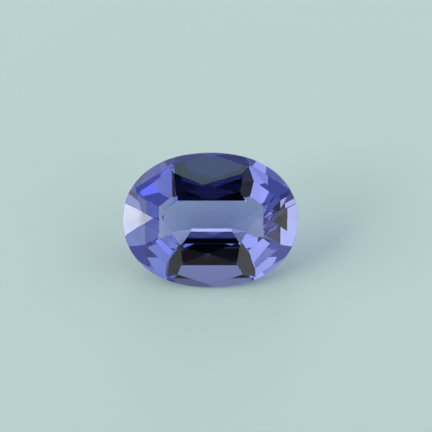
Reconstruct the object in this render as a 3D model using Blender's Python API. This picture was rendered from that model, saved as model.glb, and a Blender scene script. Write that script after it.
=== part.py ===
"""Oval cut tanzanite, lying on one of its pavilion facets.

The stone is worked the way a cutter works it: an oval blank is sliced by one flat
facet after another, first the crown around the table, then the stepped pavilion that
closes on a short keel line.  The cut stone is then laid down on the facet it rests on.
Sizes are in millimetres and angles in degrees until the mesh is scaled at the end.
"""

import math

import bmesh
import bpy
from mathutils import Vector

MM = 0.001

# The girdle outline.  A power of 2 is a true ellipse, a little more squares it.
LENGTH = 9.0
WIDTH = 6.94
OUTLINE_POWER = 2.18
OUTLINE_SIDES = 96

# Heights above and below the middle of the girdle
TABLE_HEIGHT = 0.71
GIRDLE_TOP = 0.10
GIRDLE_BOTTOM = -0.15
STEP_DEPTH = -2.45
KEEL_DEPTH = -3.22

# The keel line runs along the stone, a little to the near side of its middle
KEEL_LENGTH = 1.98
KEEL_OFF_MIDDLE = 0.45

# The table's corners, from its right hand end round by the far side.  It was cut a little unevenly.
TABLE_CORNERS = (
    (2.58, 0.05),
    (1.57, 1.40),
    (-0.35, 1.79),
    (-1.76, 1.20),
    (-2.62, -0.03),
    (-1.48, -1.38),
    (-0.08, -1.74),
    (1.59, -1.13),
)

# Each table corner has a kite facet.  The four between the ends and the sides face this far
# off the long axis, and meet the girdle at this angle of the outline.
KITE_WAY = 34.0
KITE_TIP = 24.5
# How far short of the girdle a kite's plane stops, as a share of the crown's height
KITE_LIFT = 0.07

# Between two kites, first next to the stone's ends and then next to its long sides: where
# the girdle facets part on the outline, and the shares of the crown's height at which the
# girdle facets and the star facet come to their points
END_SPLIT = 12.6
END_GIRDLE = 0.56
END_STAR = 0.62
SIDE_SPLIT = 60.0
SIDE_GIRDLE = 0.50
SIDE_STAR = 0.64

# The pavilion's columns of steps.  Way: how far off the long axis the column faces.  Out: how far
# out its lowest step ends.  Middle and top: the slopes of the steps above that, where it has them.
END = {"way": 0, "out": 2.45, "middle": 47}
FAR_CORNER = {"way": 56, "out": 1.8, "middle": 42.5, "top": 51}
FAR_SIDE = {"way": 90, "out": 1.0, "middle": 41, "top": 55}
NEAR_CORNER = {"way": 49.5, "out": 2.1, "middle": 46, "top": 53}

# The two halves were cut a little unevenly: the right hand column of a pair has a middle step
# this much steeper than given above, and the left hand one has it this much flatter
FAR_UNEVEN = -2
NEAR_UNEVEN = 1

# The near side has a narrow step at the keel and one long facet above it, which the stone lies
# on and which meets the girdle this far inside the outline
NEAR_STEP_SLOPE = 39.5
RESTING_SLOPE = 48.7
RESTING_INSET = 0.11

# A last narrow facet blunts the keel on its near side.  Its plane passes this far above the keel.
KEEL_FACET_SLOPE = 34.0
KEEL_FACET_LIFT = 0.022

BODY_COLOUR = (0.19, 0.20, 0.62, 1.0)
TANZANITE_IOR = 1.69


def ring(corner_way):
    """The directions of eight facets in turn: an end, a corner, a side, a corner and so on."""
    return (0, corner_way, 90, 180 - corner_way, 180, 180 + corner_way, 270, 360 - corner_way)


def on_outline(degrees, height=0.0):
    """The point of the girdle outline at this angle of its parametric circle."""
    turn = math.radians(degrees)
    share = 2 / OUTLINE_POWER
    x = math.copysign(abs(math.cos(turn)) ** share, math.cos(turn))
    y = math.copysign(abs(math.sin(turn)) ** share, math.sin(turn))
    return Vector((x * LENGTH / 2, y * WIDTH / 2, height))


def facing(degrees):
    turn = math.radians(degrees)
    return Vector((math.cos(turn), math.sin(turn), 0.0))


def down_facing(way, slope):
    """The outward normal of a pavilion facet that faces this way and has this slope."""
    tilt = math.radians(slope)
    return way * math.sin(tilt) - Vector((0, 0, math.cos(tilt)))


def oval_blank():
    """The uncut stone: an upright oval prism, deeper than everything that is cut from it."""
    bm = bmesh.new()
    bmesh.ops.create_cone(
        bm, cap_ends=True, segments=OUTLINE_SIDES, radius1=1.0, radius2=1.0, depth=1.0
    )
    tall = TABLE_HEIGHT - KEEL_DEPTH + 1.0
    middle = (TABLE_HEIGHT + KEEL_DEPTH) / 2
    for vert in bm.verts:
        turn = math.degrees(math.atan2(vert.co.y, vert.co.x))
        vert.co = on_outline(turn, middle + vert.co.z * tall)
    return bm


def cut(bm, normal, point):
    """Grinds one flat facet: takes off what lies beyond the plane and closes the stone again."""
    done = bmesh.ops.bisect_plane(
        bm,
        geom=bm.verts[:] + bm.edges[:] + bm.faces[:],
        dist=1e-6,
        plane_co=point,
        plane_no=normal,
        clear_outer=True,
    )
    rim = [part for part in done["geom_cut"] if isinstance(part, bmesh.types.BMEdge)]
    if rim:
        bmesh.ops.edgeloop_fill(bm, edges=rim)


def cut_through(bm, first, second, third):
    """Grinds the facet that three points lie on, the stone's middle being on its inner side."""
    normal = (second - first).cross(third - first).normalized()
    if normal.dot(first) < 0:
        normal.negate()
    cut(bm, normal, first)


def kite_plane(corner, tip, way):
    """The normal of a kite facet that leaves the table at corner and faces way."""
    run = (tip - corner).dot(way)
    drop = (TABLE_HEIGHT - GIRDLE_TOP) * (1 - KITE_LIFT)
    return (way * drop + Vector((0, 0, run))).normalized()


def on_shared_edge(one, other, share):
    """The point at a share of the crown's height on the line where two kite planes meet."""
    height = GIRDLE_TOP + (TABLE_HEIGHT - GIRDLE_TOP) * share
    (a, on_a), (b, on_b) = one, other
    left = a.dot(on_a) - a.z * height
    right = b.dot(on_b) - b.z * height
    size = a.x * b.y - a.y * b.x
    return Vector(((left * b.y - right * a.y) / size, (a.x * right - b.x * left) / size, height))


def cut_crown(bm):
    cut(bm, Vector((0, 0, 1)), Vector((0, 0, TABLE_HEIGHT)))
    corners = [Vector((x, y, TABLE_HEIGHT)) for x, y in TABLE_CORNERS]
    tips = [on_outline(angle, GIRDLE_TOP) for angle in ring(KITE_TIP)]
    ways = [facing(angle) for angle in ring(KITE_WAY)]
    planes = [kite_plane(*kite) for kite in zip(corners, tips, ways)]
    for normal, corner in zip(planes, corners):
        cut(bm, normal, corner)
    for i, corner in enumerate(corners):
        after = (i + 1) % len(corners)
        # The gaps run end, side, side, end round each half of the stone
        by_end = i % 4 in (0, 3)
        split = END_SPLIT if by_end else SIDE_SPLIT
        quarter = (0, 180, 180, 360)[i // 2]
        parting = on_outline(quarter + (split if i % 4 < 2 else -split), GIRDLE_TOP)
        shared = (planes[i], corner), (planes[after], corners[after])
        low = on_shared_edge(*shared, END_GIRDLE if by_end else SIDE_GIRDLE)
        high = on_shared_edge(*shared, END_STAR if by_end else SIDE_STAR)
        cut_through(bm, corner, corners[after], high)
        cut_through(bm, tips[i], parting, low)
        cut_through(bm, tips[after], parting, low)


def keel_end(way):
    """The end of the keel line on the side that a column faces."""
    half = KEEL_LENGTH / 2
    return Vector((half if way.x > 0 else -half, -KEEL_OFF_MIDDLE, KEEL_DEPTH))


def cut_top_step(bm, way, slope, inset=0.0):
    """Grinds the step that meets the girdle, at this distance inside the outline."""
    reach = max(on_outline(step / 2).dot(way) for step in range(720))
    cut(bm, down_facing(way, slope), way * (reach - inset) + Vector((0, 0, GIRDLE_BOTTOM)))


def cut_column(bm, angle, column, uneven=0.0):
    """Grinds one column of the pavilion, which faces this angle, from the girdle down to the keel."""
    way = facing(angle)
    if "top" in column:
        cut_top_step(bm, way, column["top"])
    step_edge = way * column["out"] + Vector((0, 0, STEP_DEPTH))
    cut(bm, down_facing(way, column["middle"] + uneven), step_edge)
    keel = keel_end(way)
    lowest = math.atan2(STEP_DEPTH - KEEL_DEPTH, (step_edge - keel).dot(way))
    cut(bm, down_facing(way, math.degrees(lowest)), keel)


def cut_pavilion(bm):
    for angle in (0, 180):
        cut_column(bm, angle, END)
    cut_column(bm, FAR_SIDE["way"], FAR_SIDE)
    cut_column(bm, FAR_CORNER["way"], FAR_CORNER, FAR_UNEVEN)
    cut_column(bm, 180 - FAR_CORNER["way"], FAR_CORNER, -FAR_UNEVEN)
    cut_column(bm, 180 + NEAR_CORNER["way"], NEAR_CORNER, -NEAR_UNEVEN)
    cut_column(bm, 360 - NEAR_CORNER["way"], NEAR_CORNER, NEAR_UNEVEN)
    near = facing(270)
    cut_top_step(bm, near, RESTING_SLOPE, RESTING_INSET)
    keel = keel_end(near)
    cut(bm, down_facing(near, NEAR_STEP_SLOPE), keel)
    cut(bm, down_facing(near, KEEL_FACET_SLOPE), keel + Vector((0, 0, KEEL_FACET_LIFT)))


def lay_down(bm):
    """Turns the stone until its resting facet faces down, sets it on the ground and centres it."""
    resting = down_facing(facing(270), RESTING_SLOPE)
    turn = resting.rotation_difference(Vector((0, 0, -1))).to_matrix()
    bmesh.ops.rotate(bm, verts=bm.verts[:], matrix=turn)
    low = Vector(min(vert.co[axis] for vert in bm.verts) for axis in range(3))
    high = Vector(max(vert.co[axis] for vert in bm.verts) for axis in range(3))
    middle = (low + high) / 2
    bmesh.ops.translate(bm, verts=bm.verts[:], vec=(-middle.x, -middle.y, -low.z))


def tanzanite_material():
    material = bpy.data.materials.new("tanzanite")
    material.use_nodes = True
    shader = material.node_tree.nodes["Principled BSDF"]
    shader.inputs["Base Color"].default_value = BODY_COLOUR
    shader.inputs["Roughness"].default_value = 0.0
    shader.inputs["IOR"].default_value = TANZANITE_IOR
    shader.inputs["Transmission Weight"].default_value = 1.0
    return material


for old in list(bpy.data.objects):
    bpy.data.objects.remove(old, do_unlink=True)

collection = bpy.data.collections.new("Oval tanzanite")
bpy.context.scene.collection.children.link(collection)

stone = oval_blank()
cut_crown(stone)
cut_pavilion(stone)
lay_down(stone)
bmesh.ops.scale(stone, vec=Vector((MM, MM, MM)), verts=stone.verts[:])
bmesh.ops.recalc_face_normals(stone, faces=stone.faces[:])

mesh = bpy.data.meshes.new("oval_tanzanite")
stone.to_mesh(mesh)
stone.free()
gem = bpy.data.objects.new("oval_tanzanite", mesh)
gem.data.materials.append(tanzanite_material())
collection.objects.link(gem)
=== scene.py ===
import math

import bmesh
import bpy
from mathutils import Matrix, Vector


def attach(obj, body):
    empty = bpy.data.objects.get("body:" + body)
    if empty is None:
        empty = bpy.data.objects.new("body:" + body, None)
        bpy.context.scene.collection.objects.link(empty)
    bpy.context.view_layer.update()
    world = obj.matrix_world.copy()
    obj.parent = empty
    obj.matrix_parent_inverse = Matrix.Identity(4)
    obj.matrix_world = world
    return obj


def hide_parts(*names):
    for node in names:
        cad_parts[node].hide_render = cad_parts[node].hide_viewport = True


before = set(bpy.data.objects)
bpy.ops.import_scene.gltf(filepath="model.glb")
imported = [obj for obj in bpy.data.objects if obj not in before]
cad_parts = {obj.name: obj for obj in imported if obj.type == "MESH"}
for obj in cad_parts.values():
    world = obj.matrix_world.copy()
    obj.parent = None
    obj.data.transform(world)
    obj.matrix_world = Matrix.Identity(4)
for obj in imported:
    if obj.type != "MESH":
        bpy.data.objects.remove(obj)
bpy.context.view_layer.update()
mm = 0.001
alongStone = Vector((1, 0, 0))


# shader maths: a socket that can be added and multiplied like a number

class Value:
    def __init__(self, socket):
        self.socket = socket
        self.graph = Graph(socket.id_data)

    def maths(self, operation, first, second):
        return self.graph.node("ShaderNodeMath", {"operation": operation}, {0: first, 1: second})

    def __add__(self, other):
        return self.maths("ADD", self, other)

    def __mul__(self, other):
        return self.maths("MULTIPLY", self, other)

    def __rsub__(self, other):
        return self.maths("SUBTRACT", other, self)

    __radd__ = __add__
    __rmul__ = __mul__


class Graph:
    def __init__(self, tree):
        self.tree = tree

    def node(self, kind, settings=None, sockets=None, output=0):
        made = self.tree.nodes.new(kind)
        for name, value in (settings or {}).items():
            setattr(made, name, value)
        for name, value in (sockets or {}).items():
            if isinstance(value, Value):
                self.tree.links.new(value.socket, made.inputs[name])
            else:
                made.inputs[name].default_value = value
        return Value(made.outputs[output]) if made.outputs else made


def newGraph(owner):
    owner.use_nodes = True
    owner.node_tree.nodes.clear()
    return Graph(owner.node_tree)


def noise(graph, place, scale, detail):
    return graph.node("ShaderNodeTexNoise", sockets={"Vector": place, "Scale": scale, "Detail": detail})


def mixed(graph, share, first, second):
    # 6, 7 and 2 are the mix node's colour sockets
    return graph.node(
        "ShaderNodeMix", {"data_type": "RGBA"}, {0: share, 6: first, 7: second}, output=2)


def scaled(graph, colour, factor):
    return graph.node("ShaderNodeVectorMath", {"operation": "SCALE"}, {0: colour, "Scale": factor})


# the stone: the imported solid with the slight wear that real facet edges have

stoneLook = {
    "edgeWear": 0.010 * mm,       # width of the flat that wear leaves along a facet edge
    "wornFrom": 4.5,              # degrees between two facets: a flatter edge shows no wear
    "tableHeight": 0.71 * mm,     # over the middle of the girdle
    "ior": 1.69,
    "takenPerMetre": (220, 200, 54),  # how much red, green and blue the crystal takes
    "facetColour": (0.97, 0.97, 1.0, 1),
    "hazeColour": (0.90, 0.91, 0.97, 1),
    "hazeShare": 0.5,
    "hazePerMetre": 900.0,        # patches about as wide as a facet
    "girdleColour": (0.86, 0.87, 0.92, 1),
    "girdleRoughness": 0.32,
    "grainPerMetre": 16000.0,     # the marks of the wheel that ground the girdle
    "grainDepth": 0.01 * mm,
    "grainStrength": 0.25,
}

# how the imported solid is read, and how finely its edges are cut
solidReading = {
    "weldWithin": 1e-4,           # millimetres
    "onPlane": 1e-5,              # millimetres
    "flatWithin": 0.4,            # degrees: triangles this near to one plane are one facet
    "facesUp": 0.2,               # the least upward share of the table's normal
    "upright": 0.02,              # the most that a girdle face's normal leans along the table's
}


def tableNormal(mesh):
    # the table is the broadest face that looks up
    areas = {}
    for polygon in mesh.polygons:
        key = tuple(round(c, 3) for c in polygon.normal)
        areas[key] = areas.get(key, 0) + polygon.area
    lookingUp = (key for key in areas if key[2] > solidReading["facesUp"])
    return Vector(max(lookingUp, key=areas.get)).normalized()


def wearEdges(bm, wear, wornFrom):
    # takes the sharpness off each edge with one narrow flat, as handling does
    flats = []
    for edge in bm.edges:
        a, b = (face.normal for face in edge.link_faces)
        turn = a.angle(b)
        if turn > math.radians(wornFrom):
            outward = (a + b).normalized()
            depth = wear / 2 * math.tan(turn / 2)
            flats.append((edge.verts[0].co - outward * depth, outward))
    for point, outward in flats:
        cut = bmesh.ops.bisect_plane(
            bm, geom=bm.verts[:] + bm.edges[:] + bm.faces[:], dist=solidReading["onPlane"],
            plane_co=point, plane_no=outward, clear_outer=True)
        rim = [part for part in cut["geom_cut"] if isinstance(part, bmesh.types.BMEdge)]
        if rim:
            bmesh.ops.edgeloop_fill(bm, edges=rim)


def makeStone(look):
    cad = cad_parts["oval_tanzanite"]
    up = tableNormal(cad.data)
    bm = bmesh.new()
    bm.from_mesh(cad.data)
    bmesh.ops.scale(bm, vec=(1 / mm,) * 3, verts=bm.verts)
    bmesh.ops.remove_doubles(bm, verts=bm.verts, dist=solidReading["weldWithin"])
    bmesh.ops.dissolve_limit(
        bm, angle_limit=math.radians(solidReading["flatWithin"]), verts=bm.verts, edges=bm.edges)
    bm.normal_update()
    wearEdges(bm, look["edgeWear"] / mm, look["wornFrom"])
    bmesh.ops.recalc_face_normals(bm, faces=bm.faces)
    bm.normal_update()
    girdle = bm.faces.layers.float.new("girdle")
    for face in bm.faces:
        onGirdle = abs(face.normal.dot(up)) < solidReading["upright"]
        face[girdle] = float(onGirdle)
        face.smooth = onGirdle
    for edge in bm.edges:
        edge.smooth = all(face.smooth for face in edge.link_faces)
    bmesh.ops.scale(bm, vec=(mm,) * 3, verts=bm.verts)
    mesh = bpy.data.meshes.new("cut_stone")
    bm.to_mesh(mesh)
    bm.free()
    stone = bpy.data.objects.new("cut_stone", mesh)
    bpy.context.scene.collection.objects.link(stone)
    stone.data.materials.append(tanzanite(look))
    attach(stone, "root")
    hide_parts("oval_tanzanite")
    print("stone:", len(mesh.polygons), "faces")
    return stone, up


def tanzanite(look):
    material = bpy.data.materials.new("tanzanite crystal")
    graph = newGraph(material)
    place = graph.node("ShaderNodeTexCoord", output="Object")
    onGirdle = graph.node("ShaderNodeAttribute", {"attribute_name": "girdle"}, output="Fac")
    haze = noise(graph, place, look["hazePerMetre"], detail=3.0)
    grain = noise(graph, place, look["grainPerMetre"], detail=2.0)
    # polishing haze is a faint cloudiness of the facets
    facets = mixed(graph, haze * look["hazeShare"], look["facetColour"], look["hazeColour"])
    bump = graph.node("ShaderNodeBump", sockets={
        "Strength": onGirdle * look["grainStrength"],
        "Distance": look["grainDepth"],
        "Height": grain,
    })
    shader = graph.node("ShaderNodeBsdfPrincipled", sockets={
        "Base Color": mixed(graph, onGirdle, facets, look["girdleColour"]),
        "Roughness": onGirdle * look["girdleRoughness"],
        "IOR": look["ior"],
        "Transmission Weight": 1.0,
        "Normal": bump,
    })
    # the crystal's own colour is taken out of the light on its way through
    density = float(max(look["takenPerMetre"]))
    crystal = graph.node("ShaderNodeVolumeAbsorption", sockets={
        "Color": (*(1 - taken / density for taken in look["takenPerMetre"]), 1),
        "Density": density,
    })
    graph.node("ShaderNodeOutputMaterial", sockets={"Surface": shader, "Volume": crystal})
    return material


# a way out from the stone, its azimuth counted from straight in front toward the right
def direction(azimuth, elevation):
    azimuth, elevation = math.radians(azimuth), math.radians(elevation)
    flat = Vector((math.sin(azimuth), -math.cos(azimuth), 0))
    return flat * math.cos(elevation) + Vector((0, 0, math.sin(elevation)))


# where the camera stands, from the photo

photoWidth = 432    # pixels

view = {
    "azimuth": 2.9,              # degrees to the right of straight in front
    "elevation": 40.8,
    "distance": 250 * mm,
    "frameWidth": 22.27 * mm,    # how much of the scene the frame takes in at the stone
    "stoneRight": -5.7 / photoWidth,    # the stone's middle off the frame's, in frame widths
    "stoneUp": -3.95 / photoWidth,
    "sensorWidth": 36,           # millimetres
    "seesFrom": 10 * mm,
    "seesTo": 5,                 # metres
}


def stoneMiddle(stone, up, tableHeight):
    # middle of the girdle, straight under the table
    away = up.cross(alongStone)
    places = [vert.co for vert in stone.data.vertices]
    across = [place.dot(away) for place in places]
    high = max(place.dot(up) for place in places) - tableHeight
    return away * (min(across) + max(across)) / 2 + up * high


def makeCamera(middle, up):
    back = direction(view["azimuth"], view["elevation"])
    away = up.cross(alongStone)
    right = away.cross(back).normalized()
    top = back.cross(right)
    width = view["frameWidth"]
    target = middle - right * view["stoneRight"] * width - top * view["stoneUp"] * width
    lens = bpy.data.cameras.new("camera")
    lens.sensor_width = view["sensorWidth"]
    lens.lens = view["sensorWidth"] * view["distance"] / width
    lens.clip_start = view["seesFrom"]
    lens.clip_end = view["seesTo"]
    camera = bpy.data.objects.new("camera", lens)
    turn = Matrix((right, top, back)).transposed().to_4x4()
    camera.matrix_world = Matrix.Translation(target + back * view["distance"]) @ turn
    bpy.context.scene.collection.objects.link(camera)
    bpy.context.scene.camera = camera
    print("camera set")


# floor, a pale sheet that is lit a little from below

floorLook = {
    "radius": 450 * mm,
    "sides": 96,
    "gap": 0.02 * mm,             # a stone never meets the floor all over
    "colour": (0.495, 0.655, 0.775, 1),
    "patchColour": (0.515, 0.675, 0.79, 1),
    "patchesPerMetre": 60.0,
    "roughness": 0.22,
    "roughnessGrain": 0.06,
    "grainPerMetre": 2500.0,
    "glow": 0.07,                 # light that comes up through the sheet
    "glowColour": (0.80, 1.0, 1.0, 1),
}


def makeFloor(look):
    bm = bmesh.new()
    bmesh.ops.create_circle(bm, cap_ends=True, segments=look["sides"], radius=look["radius"])
    mesh = bpy.data.meshes.new("floor")
    bm.to_mesh(mesh)
    bm.free()
    floor = bpy.data.objects.new("floor", mesh)
    floor.location.z = -look["gap"]
    bpy.context.scene.collection.objects.link(floor)
    material = bpy.data.materials.new("pale sheet")
    graph = newGraph(material)
    place = graph.node("ShaderNodeTexCoord", output="Object")
    patches = noise(graph, place, look["patchesPerMetre"], detail=2.0)
    grain = noise(graph, place, look["grainPerMetre"], detail=3.0)
    shader = graph.node("ShaderNodeBsdfPrincipled", sockets={
        "Base Color": mixed(graph, patches, look["colour"], look["patchColour"]),
        "Roughness": look["roughness"] + look["roughnessGrain"] * grain,
        "Emission Color": look["glowColour"],
        "Emission Strength": look["glow"],
    })
    graph.node("ShaderNodeOutputMaterial", sockets={"Surface": shader})
    mesh.materials.append(material)
    print("floor laid")


# the light: a dim sky, dark where the camera stands, with soft boxes around the stone

sky = {
    "strength": 0.26,
    "topFrom": 50,            # the sky dims from this elevation up
    "topDim": 0.4,
    "shade": {"azimuth": 0, "elevation": 56, "inner": 20, "outer": 54, "dim": 0.98},
}

# each box fades from its core out to its spread, both in degrees, and is white if it has no colour
softBoxes = [
    {"name": "right", "azimuth": 62, "elevation": 26, "spread": 40, "strength": 0.84,
     "colour": (1.28, 1.42, 1)},
    {"name": "left", "azimuth": -80, "elevation": 27, "spread": 40, "strength": 1.38,
     "colour": (1.8, 1.7, 1)},
    {"name": "small left", "azimuth": -52, "elevation": 30, "spread": 12, "strength": 5.6,
     "colour": (1, 1, 0.75)},
    {"name": "front left", "azimuth": -30, "elevation": 14, "spread": 14, "strength": 0.5,
     "colour": (0.9, 1, 1)},
    {"name": "front right", "azimuth": 24, "elevation": 17, "spread": 14, "strength": 0.75,
     "colour": (0.95, 1, 1)},
    {"name": "behind left", "azimuth": -172, "elevation": 17, "spread": 26, "strength": 1.0},
    {"name": "behind right", "azimuth": 160, "elevation": 20, "spread": 26, "strength": 1.0},
    {"name": "low behind", "azimuth": 180, "elevation": 4, "spread": 14, "strength": 2.1},
    {"name": "high left", "azimuth": -140, "elevation": 40, "spread": 28, "strength": 0.9},
    {"name": "far right", "azimuth": 115, "elevation": 32, "spread": 28, "strength": 1.6},
    {"name": "top behind", "azimuth": 180, "elevation": 77, "spread": 18, "strength": 0.55,
     "colour": (1, 1.15, 1.05)},
    {"name": "overhead", "azimuth": -22, "elevation": 81, "core": 3, "spread": 6, "strength": 1.15,
     "colour": (0.72, 1.02, 1.1)},
]


def lobe(graph, way, azimuth, elevation, outer, inner=0):
    # 1 inside the inner angle from this direction, 0 outside the outer one
    facing = graph.node(
        "ShaderNodeVectorMath", {"operation": "DOT_PRODUCT"},
        {0: way, 1: direction(azimuth, elevation)}, output="Value")
    return graph.node("ShaderNodeMapRange", {"interpolation_type": "SMOOTHSTEP"}, {
        "Value": facing,
        "From Min": math.cos(math.radians(outer)),
        "From Max": math.cos(math.radians(inner)),
    })


def makeSky():
    world = bpy.data.worlds.new("studio")
    bpy.context.scene.world = world
    graph = newGraph(world)
    way = graph.node("ShaderNodeTexCoord", output="Generated")
    shade = sky["shade"]
    dark = lobe(graph, way, shade["azimuth"], shade["elevation"], shade["outer"], shade["inner"])
    high = lobe(graph, way, azimuth=0, elevation=90, outer=90 - sky["topFrom"])
    grey = sky["strength"] * (1 - shade["dim"] * dark) * (1 - sky["topDim"] * high)
    light = scaled(graph, (1, 1, 1), grey)
    for box in softBoxes:
        spot = lobe(graph, way, box["azimuth"], box["elevation"], box["spread"], box.get("core", 0))
        glow = scaled(graph, box.get("colour", (1, 1, 1)), box["strength"] * spot)
        light = graph.node("ShaderNodeVectorMath", {"operation": "ADD"}, {0: light, 1: glow})
    background = graph.node("ShaderNodeBackground", sockets={"Color": light, "Strength": 1.0})
    graph.node("ShaderNodeOutputWorld", sockets={"Surface": background})
    print("soft boxes:", ", ".join(box["name"] for box in softBoxes))


stone, up = makeStone(stoneLook)
makeFloor(floorLook)
makeSky()
makeCamera(stoneMiddle(stone, up, stoneLook["tableHeight"]), up)
bpy.context.scene.view_settings.view_transform = "Standard"

# light is turned back inside the stone many times before it leaves
cycles = bpy.context.scene.cycles
cycles.max_bounces = 24
cycles.glossy_bounces = 16
cycles.transmission_bounces = 16
